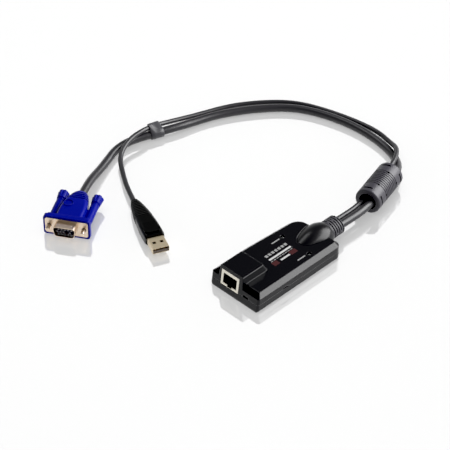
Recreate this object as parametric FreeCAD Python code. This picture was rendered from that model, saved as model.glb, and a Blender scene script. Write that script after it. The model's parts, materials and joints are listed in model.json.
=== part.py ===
"""KVM dongle: network jack in front, two captive cables out of the back, one to a
15-way video plug and one to a USB plug. Millimetres, +Z up, underside on z = 0.
The housing is centred on x = 0, y = 0; the jack faces -Y and the cables leave toward +Y."""
import math
import os

import FreeCAD, Part

V = FreeCAD.Vector

# ---- clearances and fits ----
SLIDE_GAP = 0.15
LOOSE_GAP = 0.30
SEAM_GAP = 0.05

# ---- housing ----
HOUSING_WIDTH = 44.0
HOUSING_LENGTH = 82.7
PARTING_Z = 5.8
SIDE_TOP_Z = 10.4
DECK_Z = 13.4
SIDE_BEVEL = 3.2
FRONT_BEVEL = 3.9
REAR_BEVEL = 3.1
FRONT_CORNER_R = 1.6
REAR_LEFT_R = 11.0
REAR_RIGHT_R = 5.0
REAR_LEFT_X = 2.8 - HOUSING_WIDTH / 2
REAR_RIGHT_X = HOUSING_WIDTH / 2 - 0.2
TAPER_Y = HOUSING_LENGTH / 2 - 49.35
FRONT_FOOT = 0.3
FOOT_BEVEL = 1.2
FRONT_LEAN_DEG = 8.0
WALL = 1.8
FLOOR = 1.6
BEVEL_SHARE = 0.41
LIP_THICK = 0.8
LIP_HEIGHT = 1.2
SEAM_GROOVE = 0.3

# ---- raised bump over the jack ----
BUMP_TOP_Z = 19.4
BUMP_ROOT_Z = 9.0
BUMP_LEFT_X = -14.8
BUMP_RIGHT_X = 6.0
BUMP_REAR_Y = 22.65 - HOUSING_LENGTH / 2
BUMP_SIDE_SLOPE = 0.06
BUMP_REAR_SLOPE = 0.62
BUMP_EDGE_R = 0.5
BUMP_CORNER_R = 1.6
BUMP_WALL = 1.5
BUMP_ROOF = 1.5

# ---- network jack ----
JACK_X = -5.1
JACK_WIDTH = 16.2
JACK_HEIGHT = 11.7
JACK_BASE_Z = 5.2
JACK_DEPTH = 18.0
JACK_SHEET = 0.3
JACK_FACE_SHEET = 0.5
JACK_FACE_INSET = 0.1
JACK_SIDE_BAND = 1.9
JACK_TOP_BAND = 2.2
JACK_SILL_BAND = 1.7
JACK_SILL_GAP = 4.0
JACK_TAB = 2.2
JACK_TAB_BACK = 4.3
JACK_TAB_LENGTH = 3.0
PLUG_WAY_WIDTH = 11.8
PLUG_WAY_HEIGHT = 7.2
PLUG_WAY_TOP_Z = 14.5
PLUG_WAY_DEPTH = 12.8
LATCH_WIDTH = 6.2
LATCH_DROP = 1.1
LATCH_SLOT_WIDTH = 3.6
CONTACT_COUNT = 8
CONTACT_PITCH = 1.02
CONTACT_WIDTH = 0.45
CONTACT_THICK = 0.35
CONTACT_DROP = 2.3

# ---- front snap and side pry slot ----
SNAP_X = 10.4
SNAP_WIDTH = 4.2
SNAP_HEIGHT = 1.8
SNAP_RECESS = 0.7
PRY_Y0 = -18.0
PRY_Y1 = -10.4
PRY_HEIGHT = 1.4
PRY_DEPTH = 1.0

# ---- circuit board and what stands on it ----
BOARD_Z = 3.6
BOARD_THICK = 1.6
BOARD_WIDTH = HOUSING_WIDTH - 2 * WALL - 3.0
BOARD_FRONT_Y = 3.05 - HOUSING_LENGTH / 2
BOARD_REAR_Y = HOUSING_LENGTH / 2 - 22.35
POST_R = 2.1
PEG_R = 1.0
POST_X = HOUSING_WIDTH / 2 - 5.4
POST_FRONT_Y = BOARD_FRONT_Y + 12.3
POST_REAR_Y = BOARD_REAR_Y - 10.0
POST_POINTS = [(-POST_X, POST_FRONT_Y), (POST_X, POST_FRONT_Y), (-POST_X, POST_REAR_Y), (POST_X, POST_REAR_Y)]
MAIN_CHIP = (9.0, 10.0, 1.4)
MAIN_CHIP_AT = (4.5, -5.0)
VIDEO_CHIP = (4.0, 9.9, 1.5)
VIDEO_CHIP_AT = (-9.0, -6.0)
CHIP_EDGE = 0.25
CRYSTAL_AT = (10.0, -22.0)
CAPACITOR_POINTS = [(-14.3, 1.0), (14.0, -3.0)]
CAPACITOR_R = 2.0
CAPACITOR_HEIGHT = 4.3
CHIP_PART_POINTS = [(-1.0, -14.0), (1.5, -14.0), (4.0, -14.0), (6.5, -14.0), (-13.5, -12.0),
                    (-13.5, -9.0), (-5.0, 4.0), (-2.5, 4.0), (0.0, 4.0), (11.5, -12.5), (11.5, -9.5)]
CHIP_PART = (1.25, 2.0, 0.6)
LED_POINTS = [(11.4 - HOUSING_WIDTH / 2, BOARD_REAR_Y - 2.4), (HOUSING_WIDTH / 2 - 7.4, BOARD_REAR_Y - 2.6)]
LED_R = 1.5
LED_SINK = 0.4
LED_LENGTH = 5.3
LED_LEG = 0.5
HEADER_Y0 = BOARD_REAR_Y - 9.0
HEADER_Y1 = BOARD_REAR_Y - 4.0
HEADER_HEIGHT = 5.2
HEADER_END = 0.9
LEAD_Z = 9.1

# ---- screws that close the housing ----
SCREW_Y = HOUSING_LENGTH / 2 - 11.35
SCREW_POINTS = [(WALL + 4.0 - HOUSING_WIDTH / 2, SCREW_Y), (HOUSING_WIDTH / 2 - 5.0, SCREW_Y)]
SCREW_R = 1.25
SCREW_HEAD_R = 2.2
SCREW_HEAD_HEIGHT = 1.5
SCREW_HEAD_Z = 0.4
SCREW_TIP_Z = 11.2
BOSS_R = 2.8
BOSS_MEET_Z = 7.2

# ---- strain relief ----
RELIEF_X = 2.9
RELIEF_SECTIONS = [(HOUSING_LENGTH / 2 + d, a, b, z) for d, a, b, z in (
    (-21.75, 6.4, 5.2, 8.3), (-16.65, 8.5, 7.1, 8.3), (-11.35, 9.8, 8.65, 8.3),
    (-5.35, 10.9, 9.3, 8.3), (0.65, 10.1, 8.8, 8.3), (4.65, 7.6, 6.7, 8.7))]
RELIEF_WALL = 1.3
RELIEF_INNER_FLOOR_Z = 1.75
RELIEF_OUTER_FLOOR_Z = 0.4
RELIEF_KEY_Y = HOUSING_LENGTH / 2 - 10.85
RELIEF_KEY_WIDTH = 2.0
RELIEF_KEY_HEIGHT = 1.2
RELIEF_HALF_WIDTH = 10.7
RELIEF_KEY_TOP_Z = 10.1
COLLAR_A = 7.6
COLLAR_B = 6.7
COLLAR_Z = 8.8
COLLAR_END_Y = HOUSING_LENGTH / 2 + 15.15
COLLAR_FIRST_Y = HOUSING_LENGTH / 2 + 5.85
COLLAR_PITCH = 2.0
COLLAR_SLOT = 0.9
COLLAR_SLOT_DEPTH = 1.3
COLLAR_BRIDGE = 1.7
COLLAR_SLOTS = 5

# ---- cables ----
VGA_CABLE_R = 3.0
USB_CABLE_R = 1.8
ARC_SHARE = 0.45
LEAD_START_Y = 36.0
VGA_LEADS = 5
VGA_LEAD_R = 0.5
VGA_LEAD_PITCH = 1.15
USB_LEADS = 4
USB_LEAD_R = 0.35
USB_LEAD_PITCH = 0.8
VGA_ROUTE = [
    (5.3, 36, 9.1), (5.4, 58.5, 9.1), (6.3, 82.35, 9.6), (-0.1, 108.15, 9.8), (-7.6, 132.3, 7.4),
    (-16.6, 143.2, 4.5), (-28.8, 150, 3), (-45.7, 152.65, 3), (-66.8, 151.85, 3), (-92.6, 146.85, 3),
    (-117.1, 139.15, 3), (-136.4, 120.05, 3), (-151.4, 94.55, 3), (-157.5, 74.55, 3),
    (-160.3, 62.35, 3.9), (-165.7, 46.95, 3.9), (-176.5, 17.95, 3), (-164.3, -10.35, 3.4),
    (-153.8, -33.95, 7.85), (-142.3, -52.65, 7.85)]
USB_ROUTE = [
    (-0.3, 36, 9.1), (-0.4, 58.5, 9.1), (0.4, 81.95, 9.5), (-6.4, 106.55, 9.7), (-12.4, 132.35, 10.9),
    (-23.3, 150.85, 9.4), (-36.2, 157.05, 5.2), (-53.8, 163.15, 2.6), (-75.3, 162.05, 1.8),
    (-99, 155.15, 1.8), (-122.5, 147.55, 1.8), (-140, 130.65, 1.8), (-154.5, 109.15, 1.8),
    (-163.1, 84.45, 1.8), (-168.8, 65.85, 3.2), (-171.8, 52.35, 5.1), (-170.1, 37.35, 9.6),
    (-170.3, 21.35, 8.6), (-163.9, 5.85, 5), (-147.9, -5.25, 3.6), (-130.5, -16.4, 4.6),
    (-111.29, -25.02, 4.6)]

# ---- ferrite choke ----
CHOKE_NEAR = V(2.0, 89.35, 9.75)
CHOKE_DIR = V(-0.264, 0.9645, 0.0)
CHOKE_LENGTH = 37.2
CHOKE_R = 9.7
CHOKE_EDGE_R = 1.3
CHOKE_CORE_R = CHOKE_R - 1.7
CHOKE_CORE_LENGTH = 28.4
CHOKE_BORE_R = VGA_CABLE_R + USB_CABLE_R + 1.5
CHOKE_MOUTH_R = CHOKE_BORE_R + 0.1
CHOKE_MOUTH_DEPTH = 1.4
CHOKE_HOLE = 1.6
CHOKE_HOLE_AT = (10.7, 26.4)
CHOKE_HOLE_ROWS = 6
CHOKE_ROW_TURN_DEG = 12.0
CHOKE_SLOT_AT = (4.0, 33.2)
CHOKE_SLOT_WIDTH = 1.4
CHOKE_SLOT_DEPTH = 1.1
CHOKE_SLOT_SPAN_DEG = 42.0
CHOKE_SLOTS = 4

# ---- sleeve that ties the two cables together ----
SLEEVE_START = V(-164.5, 53.55, 3.9)
SLEEVE_LENGTH = 11.5
SLEEVE_VGA_R = VGA_CABLE_R + 0.9
SLEEVE_USB_R = USB_CABLE_R + 0.9

# ---- video plug, in its own frame: y runs from the flange toward the cable ----
VGA_AT = V(-127.3, -76.95, 7.85)
VGA_TURN_DEG = 31.7
FLANGE_WIDTH = 30.8
FLANGE_HEIGHT = 12.5
FLANGE_THICK = 0.8
FLANGE_PROUD = 0.3
SHELL_WIDTH = 16.9
SHELL_HEIGHT = 8.3
SHELL_REACH = 6.0
SHELL_SHEET = 0.4
SHELL_CORNER_R = 2.4
SHELL_SLANT_DEG = 10.0
DIMPLE_R = 0.6
DIMPLE_PROUD = 0.2
DIMPLE_PITCH = 4.2
INSERT_SETBACK = 4.6
VGA_PIN_R = 0.38
VGA_PIN_REACH = 5.0
VGA_PIN_PITCH = 2.29
VGA_ROW_PITCH = 1.98
HOOD_RIM = (33.4, 15.7, 3.0)
HOOD_STEP = (31.2, 13.4, 5.4)
HOOD_CORNER_R = 2.0
HOOD_SECTIONS = [(5.0, 9.6, 6.3, 2.4), (14.0, 9.5, 6.3, 2.5), (20.0, 9.1, 6.2, 2.7), (24.5, 8.4, 6.0, 3.0),
                 (28.5, 7.5, 5.7, 3.4), (32.0, 6.6, 5.3, 3.8), (34.6, 5.7, 4.8, 4.1), (36.2, 4.6, 4.3, 4.0)]
HOOD_GROOVE = 0.8
HOOD_GROOVE_DEPTH = 0.45
HOOD_GROOVE_YS = (26.0, 28.3, 30.6, 32.9)
HOOD_RING_AT = (-4.0, 19.0)
HOOD_RING_R = 3.6
HOOD_RING_WIDTH = 0.5
HOOD_RING_PROUD = 0.35
BARREL_X = 12.5
BARREL_R = 3.05
BARREL_END_Y = 26.2
BARREL_WEB = 2.3
BARREL_WEB_END_Y = 19.0
JACKSCREW_R = 1.42
JACKSCREW_SHANK_R = JACKSCREW_R - 0.17
JACKSCREW_THREAD_END_Y = -0.9
JACKSCREW_CHAMFER = 0.4
JACKSCREW_TIP_Y = -5.4
JACKSCREW_HEAD_Y = 32.0
KNOB_START_Y = 26.8
KNOB_END_Y = 35.8
KNOB_NECK_R = 2.6
KNOB_R = 4.1
KNOB_FLUTES = 6
KNOB_FLUTE_R = 1.25

# ---- USB plug, in its own frame: y runs from the mouth toward the cable ----
USB_AT = V(-65.7, -45.55, 5.5)
USB_TURN_DEG = 65.75
USB_WIDTH = 12.0
USB_HEIGHT = 4.5
USB_REACH = 12.2
USB_SHEET = 0.3
USB_INSIDE = 6.0
USB_WINDOW = 2.3
USB_WINDOW_X = 2.7
USB_WINDOW_Y = 5.2
USB_TONGUE_THICK = 1.85
USB_CONTACT_X = (-3.5, -1.0, 1.0, 3.5)
USB_CONTACT_WIDTH = 1.0
USB_CONTACT_THICK = 0.15
USB_GRIP_SECTIONS = [(0.0, 6.7, 3.2, 1.3), (2.0, 7.1, 4.0, 1.8), (8.0, 7.1, 4.6, 2.2), (15.0, 6.9, 4.7, 2.4),
                     (23.0, 6.3, 4.5, 2.6), (30.0, 5.6, 4.1, 2.7), (37.0, 4.5, 3.6, 2.8), (44.6, 3.0, 2.9, 2.7)]
USB_GRIP_DROP = (0.0, 0.2, 0.6, 0.65, 0.7, 0.8, 0.85, 0.9)
USB_PAD = (12.0, 7.4, 0.6)
USB_PAD_Y = 2.9


def box(x0, x1, y0, y1, z0, z1):
    return Part.makeBox(x1 - x0, y1 - y0, z1 - z0, V(x0, y0, z0))


def rod(radius, start, axis, length):
    return Part.makeCylinder(radius, length, V(*start), V(*axis))


def stud(radius, x, y, z, length):
    """Thin eight-sided rod along y."""
    corners = [math.radians(22.5 + 45 * i) for i in range(8)]
    return prism([(x + radius * math.cos(a), y, z + radius * math.sin(a)) for a in corners], (0, length, 0))


def prism(points, push):
    loop = [V(*p) for p in points]
    return Part.Face(Part.makePolygon(loop + loop[:1])).extrude(V(*push))


def group(shapes):
    return Part.makeCompound(shapes)


def along_edges(shape, axis):
    picked = []
    for edge in shape.Edges:
        ends = [v.Point for v in edge.Vertexes]
        if len(ends) == 2 and abs((ends[1] - ends[0]).normalize().dot(axis)) > 0.999:
            picked.append(edge)
    return picked


def rounded_box(x0, x1, y0, y1, z0, z1, radius, axis):
    block = box(x0, x1, y0, y1, z0, z1)
    return block.makeFillet(radius, along_edges(block, axis))


def ellipse_wire(x, y, z, a, b):
    if a >= b:
        curve = Part.Ellipse(V(x + a, y, z), V(x, y, z + b), V(x, y, z))
    else:
        curve = Part.Ellipse(V(x, y, z + b), V(x + a, y, z), V(x, y, z))
    return Part.Wire(curve.toShape())


def placed(shape, at, turn_deg):
    turned = shape.copy()
    turned.Placement = FreeCAD.Placement(at, FreeCAD.Rotation(V(0, 0, 1), turn_deg))
    return turned


# ---------------------------------------------------------------- housing form

def rounded_loop(points, radii):
    """Closed wire of straight sides; a corner with a radius gets a tangent arc."""
    corners = []
    for i, (point, radius) in enumerate(zip(points, radii)):
        before = (points[i - 1] - point).normalize()
        after = (points[(i + 1) % len(points)] - point).normalize()
        if radius == 0:
            corners.append((point, None, point))
            continue
        half = before.getAngle(after) / 2
        reach = radius / math.tan(half)
        inward = (before + after).normalize()
        middle = point + inward * (radius / math.sin(half) - radius)
        corners.append((point + before * reach, middle, point + after * reach))
    edges = []
    for i, (enter, middle, leave) in enumerate(corners):
        if middle is not None:
            edges.append(Part.Arc(enter, middle, leave).toShape())
        edges.append(Part.LineSegment(leave, corners[(i + 1) % len(corners)][0]).toShape())
    return Part.Wire(edges)


def front_y(z):
    return -HOUSING_LENGTH / 2 + z * math.tan(math.radians(FRONT_LEAN_DEG))


def plan_wire(z, inset, front, rear):
    """Plan outline at height z: straight sides that close in a little toward the cable end."""
    half = HOUSING_WIDTH / 2
    points = [V(-half + inset, front, z), V(half - inset, front, z), V(half - inset, TAPER_Y, z),
              V(REAR_RIGHT_X - inset, rear, z), V(REAR_LEFT_X + inset, rear, z), V(-half + inset, TAPER_Y, z)]
    front_r = max(FRONT_CORNER_R - inset, 0.4)
    radii = [front_r, front_r, 0, max(REAR_RIGHT_R - inset, 0.4), max(REAR_LEFT_R - inset, 0.4), 0]
    return rounded_loop(points, radii)


def plan_prism(inset, z0, z1):
    """Upright block with the plan outline of the seam moved in by inset."""
    wire = plan_wire(z0, inset, front_y(PARTING_Z) + inset, HOUSING_LENGTH / 2 - inset)
    return Part.Face(wire).extrude(V(0, 0, z1 - z0))


def front_waste(depth):
    """Everything in front of the leaning front face moved in by depth."""
    far, high = -HOUSING_LENGTH / 2 - 10, BUMP_TOP_Z + 5
    points = [(-60, far, -5), (-60, front_y(-5) + depth, -5), (-60, front_y(high) + depth, high), (-60, far, high)]
    return prism(points, (120, 0, 0))


def shell_form(inset, roof_inset, z0):
    """Housing without its bump: bevelled foot, upright walls, leaning front, bevels up to the deck."""
    side_top = SIDE_TOP_Z - roof_inset * BEVEL_SHARE
    top = DECK_Z - roof_inset
    rear = HOUSING_LENGTH / 2 - inset
    foot, front_foot = (FOOT_BEVEL, FRONT_FOOT) if inset == 0 else (0.2, 0.2)
    levels = [(z0, inset + foot, front_y(z0) + inset + front_foot, rear - foot),
              (z0 + foot, inset, front_y(z0 + foot) + inset, rear),
              (side_top, inset, front_y(side_top) + inset, rear),
              (top, inset + SIDE_BEVEL, front_y(side_top) + inset + FRONT_BEVEL, rear - REAR_BEVEL)]
    return Part.makeLoft([plan_wire(*level) for level in levels], True, True)


def bump_form(inset, roof_inset):
    """Raised block over the jack: near upright sides and a back that slopes down to the deck."""
    top_z = BUMP_TOP_Z - roof_inset
    fall = BUMP_TOP_Z - BUMP_ROOT_Z
    front = -HOUSING_LENGTH / 2 - 2
    x0, x1, y1 = BUMP_LEFT_X + inset, BUMP_RIGHT_X - inset, BUMP_REAR_Y - inset
    loops = []
    for z, drop in ((BUMP_ROOT_Z, fall), (top_z, roof_inset)):
        out, back = drop * BUMP_SIDE_SLOPE, drop * BUMP_REAR_SLOPE
        loops.append([V(x0 - out, front, z), V(x1 + out, front, z),
                      V(x1 + out, y1 + back, z), V(x0 - out, y1 + back, z)])
    block = Part.makeLoft([Part.makePolygon(loop + loop[:1]) for loop in loops], True, True)
    if inset:
        return block
    corners = [e for e in block.Edges
               if abs(e.Vertexes[0].Z - e.Vertexes[-1].Z) > 1 and e.Vertexes[0].Y > front + 1]
    block = block.makeFillet(BUMP_CORNER_R, corners)
    rim = [e for e in block.Edges
           if all(abs(v.Z - top_z) < 0.01 for v in e.Vertexes) and e.CenterOfMass.y > front + 1]
    return block.makeFillet(BUMP_EDGE_R, rim)


def outer_form():
    form = shell_form(0, 0, 0).fuse(bump_form(0, 0))
    return form.cut(front_waste(0)).removeSplitter()


def inner_form():
    form = shell_form(WALL, WALL, FLOOR).fuse(bump_form(BUMP_WALL, BUMP_ROOF))
    return form.cut(front_waste(WALL))


def relief_form(grow):
    """Strain relief body: oval sections swelling out of the deck and closing on the collar."""
    wires = [ellipse_wire(RELIEF_X, y, z, a + grow, b + grow) for y, a, b, z in RELIEF_SECTIONS]
    body = Part.makeLoft(wires, True, False)
    if grow == 0:
        return body
    first_y, a, b, z = RELIEF_SECTIONS[0]
    cap = Part.Face(ellipse_wire(RELIEF_X, first_y - grow, z, a + grow, b + grow)).extrude(V(0, grow, 0))
    return body.fuse(cap)


def relief_key(grow):
    """Ribs on both flanks of the strain relief that lock it in the two covers."""
    y0 = RELIEF_KEY_Y - grow
    y1 = RELIEF_KEY_Y + RELIEF_KEY_WIDTH + grow
    reach = RELIEF_HALF_WIDTH + RELIEF_KEY_HEIGHT + grow
    return box(RELIEF_X - reach, RELIEF_X + reach, y0, y1, RELIEF_INNER_FLOOR_Z - grow, RELIEF_KEY_TOP_Z + grow)


def relief_wrap(gap):
    return relief_form(RELIEF_WALL + LOOSE_GAP + gap).fuse(relief_key(RELIEF_WALL + gap))


def relief_saddle(z0, z1):
    """Wall that wraps the strain relief inside the housing."""
    inside_y = HOUSING_LENGTH / 2 - 0.5
    return relief_wrap(0).common(box(-40, 40, 0, inside_y, z0, z1))


def lead_way():
    """Window in that wall where the wires pass from the strain relief to the board."""
    y = RELIEF_SECTIONS[0][0]
    half_z = VGA_CABLE_R - 0.6
    return box(USB_ROUTE[0][0] - 2.4, VGA_ROUTE[0][0] + 3.4, y - 4, y + 1, LEAD_Z - half_z, LEAD_Z + half_z)


def relief_room():
    room = relief_form(LOOSE_GAP).fuse(relief_key(SLIDE_GAP))
    return room.common(box(-40, 40, 0, HOUSING_LENGTH, FLOOR, 30))


def jack_room():
    """Opening and pocket for the metal shield of the network jack."""
    g = SLIDE_GAP
    x0, x1 = JACK_X - JACK_WIDTH / 2 - g, JACK_X + JACK_WIDTH / 2 + g
    rear = -HOUSING_LENGTH / 2 + JACK_FACE_INSET + JACK_DEPTH + g
    return box(x0, x1, -HOUSING_LENGTH / 2 - 5, rear, JACK_BASE_Z - g, JACK_BASE_Z + JACK_HEIGHT + g)


def snap_box(grow, y0, y1):
    half = SNAP_WIDTH / 2 + grow
    return box(SNAP_X - half, SNAP_X + half, y0, y1, PARTING_Z - 0.1, PARTING_Z + SNAP_HEIGHT + grow)


def pry_slot():
    """Lens-shaped notch over the seam on the right side, where a blade opens the housing."""
    x = HOUSING_WIDTH / 2
    z = PARTING_Z
    mid = (PRY_Y0 + PRY_Y1) / 2
    arc = Part.Arc(V(x + 1, PRY_Y0, z), V(x + 1, mid, z + PRY_HEIGHT), V(x + 1, PRY_Y1, z)).toShape()
    base = Part.LineSegment(V(x + 1, PRY_Y1, z), V(x + 1, PRY_Y0, z)).toShape()
    return Part.Face(Part.Wire([arc, base])).extrude(V(-1 - PRY_DEPTH, 0, 0))


def screw_boss_top(x, y):
    return rod(BOSS_R, (x, y, BOSS_MEET_Z + SEAM_GAP), (0, 0, 1), DECK_Z - 1.0 - BOSS_MEET_Z)


def screw_bosses_below(grow):
    return [rod(BOSS_R + grow, (x, y, 0.2), (0, 0, 1), BOSS_MEET_Z - 0.2 + grow) for x, y in SCREW_POINTS]


def make_top_cover(outer, inner):
    cover = outer.cut(inner).common(box(-60, 60, -60, 60, PARTING_Z + SEAM_GAP, 30))
    rebate = plan_prism(WALL - LIP_THICK - SEAM_GAP, PARTING_Z - 1, PARTING_Z + LIP_HEIGHT + SEAM_GAP)
    cover = cover.cut(rebate)
    roof_z = DECK_Z - WALL
    stop_z = BOARD_Z + BOARD_THICK
    stops = [rod(POST_R, (x, y, stop_z + SEAM_GAP), (0, 0, 1), roof_z + 0.5 - stop_z) for x, y in POST_POINTS]
    additions = [s.common(outer) for s in stops + [screw_boss_top(x, y) for x, y in SCREW_POINTS]]
    saddle = relief_saddle(PARTING_Z + SEAM_GAP, DECK_Z - 0.2).cut(screw_bosses_below(SEAM_GAP))
    additions.append(saddle.common(outer))
    cover = cover.fuse(additions)
    cuts = [jack_room(), relief_room(), lead_way(), pry_slot(),
            snap_box(SLIDE_GAP, -60, front_y(PARTING_Z) + WALL + 0.6)]
    cuts += [rod(PEG_R + SLIDE_GAP, (x, y, BOARD_Z), (0, 0, 1), BOARD_THICK + 1.2) for x, y in POST_POINTS]
    cuts += [rod(SCREW_R, (x, y, BOSS_MEET_Z - 1), (0, 0, 1), SCREW_TIP_Z + 0.3 - BOSS_MEET_Z + 1)
             for x, y in SCREW_POINTS]
    cuts += [rod(LED_R + SLIDE_GAP, (x, y, PARTING_Z), (0, 0, 1), 15) for x, y in LED_POINTS]
    return cover.cut(cuts).removeSplitter()


def make_bottom_cover(outer, inner):
    cover = outer.cut(inner).common(box(-60, 60, -60, 60, -1, PARTING_Z))
    lip_top = PARTING_Z + LIP_HEIGHT
    lip = plan_prism(WALL - LIP_THICK, PARTING_Z - 1, lip_top).cut(plan_prism(WALL, PARTING_Z - 2, lip_top + 1))
    additions = [lip.cut([front_waste(WALL - LIP_THICK + SLIDE_GAP), relief_wrap(SLIDE_GAP)])]
    for x, y in POST_POINTS:
        additions.append(rod(POST_R, (x, y, FLOOR - 0.2), (0, 0, 1), BOARD_Z - FLOOR + 0.2))
        additions.append(rod(PEG_R, (x, y, FLOOR), (0, 0, 1), BOARD_Z + BOARD_THICK + 0.7 - FLOOR))
    additions += screw_bosses_below(0)
    additions.append(relief_saddle(FLOOR - 0.2, PARTING_Z))
    tooth_y = front_y(PARTING_Z) + SNAP_RECESS
    additions.append(snap_box(0, tooth_y, front_y(PARTING_Z) + WALL).common(box(-60, 60, -60, 60, 0, PARTING_Z + 1.5)))
    cover = cover.fuse([a.common(outer) for a in additions])
    head_room = SCREW_HEAD_Z + SCREW_HEAD_HEIGHT
    cuts = [jack_room(), relief_room()]
    for x, y in SCREW_POINTS:
        cuts.append(rod(SCREW_HEAD_R + SLIDE_GAP, (x, y, -1), (0, 0, 1), head_room + 1))
        cuts.append(rod(SCREW_R + SLIDE_GAP, (x, y, 0), (0, 0, 1), BOSS_MEET_Z + 1))
    return cover.cut(cuts).removeSplitter()


def make_cover_screws():
    screws = []
    for x, y in SCREW_POINTS:
        head = rod(SCREW_HEAD_R, (x, y, SCREW_HEAD_Z), (0, 0, 1), SCREW_HEAD_HEIGHT)
        shank = rod(SCREW_R, (x, y, SCREW_HEAD_Z), (0, 0, 1), SCREW_TIP_Z - SCREW_HEAD_Z)
        slots = [box(x - 1.3, x + 1.3, y - 0.3, y + 0.3, 0, SCREW_HEAD_Z + 0.9),
                 box(x - 0.3, x + 0.3, y - 1.3, y + 1.3, 0, SCREW_HEAD_Z + 0.9)]
        screws.append(head.fuse(shank).cut(slots).removeSplitter())
    return group(screws)


# ---------------------------------------------------------------- board and parts

def board_top():
    return BOARD_Z + BOARD_THICK


def make_circuit_board():
    half = BOARD_WIDTH / 2
    board = rounded_box(-half, half, BOARD_FRONT_Y, BOARD_REAR_Y, BOARD_Z, board_top(), 1.0, V(0, 0, 1))
    cuts = [relief_wrap(LOOSE_GAP)]
    cuts += [rod(PEG_R + SEAM_GAP, (x, y, 0), (0, 0, 1), 20) for x, y in POST_POINTS]
    for x, y in LED_POINTS:
        for side in (-1, 1):
            h = LED_LEG / 2
            cuts.append(box(x + side * 1.27 - h, x + side * 1.27 + h, y - h, y + h, 0, 20))
    return board.cut(cuts)


def make_chip(size, at):
    w, l, h = size
    x, y = at
    body = box(x - w / 2, x + w / 2, y - l / 2, y + l / 2, board_top(), board_top() + h)
    return body.makeChamfer(CHIP_EDGE, [e for e in body.Edges if e.CenterOfMass.z > board_top() + h - 0.01])


def make_crystal():
    x, y = CRYSTAL_AT
    z = board_top()
    can = box(x - 5.2, x + 5.2, y - 2.1, y + 2.1, z, z + 3.4)
    can = can.makeFillet(2.0, along_edges(can, V(0, 0, 1)))
    foot = rounded_box(x - 5.6, x + 5.6, y - 2.4, y + 2.4, z, z + 0.5, 2.2, V(0, 0, 1))
    return can.fuse(foot).removeSplitter()


def make_capacitors():
    z = board_top()
    cans = []
    for x, y in CAPACITOR_POINTS:
        base = box(x - 2.2, x + 2.2, y - 2.2, y + 2.2, z, z + 0.8)
        cans.append(base.fuse(rod(CAPACITOR_R, (x, y, z), (0, 0, 1), CAPACITOR_HEIGHT)).removeSplitter())
    return group(cans)


def make_chip_parts():
    w, l, h = CHIP_PART
    z = board_top()
    return group([box(x - w / 2, x + w / 2, y - l / 2, y + l / 2, z, z + h) for x, y in CHIP_PART_POINTS])


def led_top_z():
    return DECK_Z - LED_SINK


def make_status_leds():
    leds = []
    base = led_top_z() - LED_LENGTH
    for x, y in LED_POINTS:
        body = rod(LED_R, (x, y, base), (0, 0, 1), LED_LENGTH - LED_R)
        dome = Part.makeSphere(LED_R, V(x, y, led_top_z() - LED_R))
        leds.append(body.fuse(dome).removeSplitter())
    return group(leds)


def make_led_legs():
    h = LED_LEG / 2
    base = led_top_z() - LED_LENGTH
    return group([box(x + s * 1.27 - h, x + s * 1.27 + h, y - h, y + h, BOARD_Z - 0.8, base)
                  for x, y in LED_POINTS for s in (-1, 1)])


def make_header(x, pins, pitch):
    half = (pins - 1) * pitch / 2 + HEADER_END
    z = board_top()
    block = box(x - half, x + half, HEADER_Y0, HEADER_Y1, z, z + HEADER_HEIGHT)
    notch = box(x - half + 0.7, x + half - 0.7, HEADER_Y0 - 1, HEADER_Y0 + 1.2, z + 3.2, z + 5)
    return block.cut(notch)


# ---------------------------------------------------------------- network jack

def jack_box(inset, front_depth):
    x0, x1 = JACK_X - JACK_WIDTH / 2 + inset, JACK_X + JACK_WIDTH / 2 - inset
    z0, z1 = JACK_BASE_Z + inset, JACK_BASE_Z + JACK_HEIGHT - inset
    rear = -HOUSING_LENGTH / 2 + JACK_FACE_INSET + JACK_DEPTH - inset
    return box(x0, x1, -HOUSING_LENGTH / 2 - 1, rear, z0, z1).cut(front_waste(front_depth))


def make_jack_shield():
    shield = jack_box(0, JACK_FACE_INSET).cut(jack_box(JACK_SHEET, JACK_FACE_INSET + JACK_FACE_SHEET))
    front = -HOUSING_LENGTH / 2 - 2
    rear = front + 5
    top = JACK_BASE_Z + JACK_HEIGHT
    half = JACK_WIDTH / 2 - JACK_SIDE_BAND
    window = rounded_box(JACK_X - half, JACK_X + half, front, rear, JACK_BASE_Z + JACK_SILL_BAND, top - JACK_TOP_BAND,
                         0.3, V(0, 1, 0))
    gap = box(JACK_X - JACK_SILL_GAP / 2, JACK_X + JACK_SILL_GAP / 2, front, rear, JACK_BASE_Z + JACK_SHEET, top - 4)
    tabs = []
    z = board_top()
    front_tab = BOARD_FRONT_Y + JACK_TAB_BACK
    for side in (-1, 1):
        edge = JACK_X + side * (JACK_WIDTH / 2 - JACK_SHEET)
        ends = sorted((edge, edge + side * (JACK_TAB + JACK_SHEET)))
        tabs.append(box(ends[0], ends[1], front_tab, front_tab + JACK_TAB_LENGTH, z, z + JACK_SHEET))
    return shield.cut([window, gap]).fuse(tabs).removeSplitter()


def make_jack_body(contacts):
    body = jack_box(JACK_SHEET, JACK_FACE_INSET + JACK_FACE_SHEET)
    front = -HOUSING_LENGTH / 2 - 2
    rear = -HOUSING_LENGTH / 2 + JACK_FACE_INSET + PLUG_WAY_DEPTH
    sill = PLUG_WAY_TOP_Z - PLUG_WAY_HEIGHT
    way = box(JACK_X - PLUG_WAY_WIDTH / 2, JACK_X + PLUG_WAY_WIDTH / 2, front, rear, sill, PLUG_WAY_TOP_Z)
    latch = box(JACK_X - LATCH_WIDTH / 2, JACK_X + LATCH_WIDTH / 2, front, rear, sill - LATCH_DROP, sill + 1)
    slot = box(JACK_X - LATCH_SLOT_WIDTH / 2, JACK_X + LATCH_SLOT_WIDTH / 2, front, rear - 4, JACK_BASE_Z + 0.6, sill)
    return body.cut([way, latch, slot, contacts])


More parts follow.
